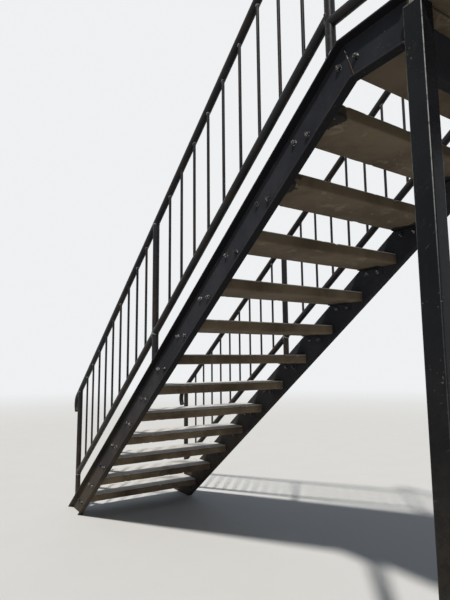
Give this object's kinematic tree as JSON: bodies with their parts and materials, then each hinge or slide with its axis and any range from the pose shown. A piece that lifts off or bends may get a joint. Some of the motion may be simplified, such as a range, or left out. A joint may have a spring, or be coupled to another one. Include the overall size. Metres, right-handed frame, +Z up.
{
  "type": "fire escape stair",
  "caption": "Straight outdoor escape stair with open risers: concrete treads between steel channel stringers, pipe railings with upright bars, landing on columns.",
  "frame": {"origin": "on the ground under the middle of the stair's whole footprint, midway between the stringers", "axes": "+X is the way up, from the foot to the wall; +Y is the left side going up; +Z is up"},
  "size_m": [4.5705, 1.115, 3.537],
  "materials": {
    "frame_paint": "weathered semi-gloss black paint with rust specks",
    "railing_paint": "weathered gloss black paint",
    "tread_concrete": "weathered grey-tan cast concrete",
    "landing_concrete": "weathered grey-tan cast concrete, stained below"
  },
  "bodies": {
    "root": {"stringer_right": "frame_paint", "stringer_left": "frame_paint", "tread_01": "tread_concrete", "tread_02": "tread_concrete", "tread_03": "tread_concrete", "tread_04": "tread_concrete", "tread_05": "tread_concrete", "tread_06": "tread_concrete", "tread_07": "tread_concrete", "tread_08": "tread_concrete", "tread_09": "tread_concrete", "tread_10": "tread_concrete", "tread_11": "tread_concrete", "tread_12": "tread_concrete", "tread_brackets_right": "frame_paint", "tread_brackets_left": "frame_paint", "header_beam": "frame_paint", "wall_beam": "frame_paint", "landing_front_plank": "landing_concrete", "landing_slab": "landing_concrete", "column_right": "frame_paint", "column_left": "frame_paint", "column_base_right": "frame_paint", "column_base_left": "frame_paint", "top_rail_right": "railing_paint", "top_rail_left": "railing_paint", "lower_rail_right": "railing_paint", "lower_rail_left": "railing_paint", "posts_right": "railing_paint", "posts_left": "railing_paint", "balusters_right": "railing_paint", "balusters_left": "railing_paint", "guard_rails_right": "railing_paint", "guard_rails_left": "railing_paint", "guard_posts_right": "railing_paint", "guard_posts_left": "railing_paint", "guard_balusters_right": "railing_paint", "guard_balusters_left": "railing_paint"}
  },
  "joints": []
}
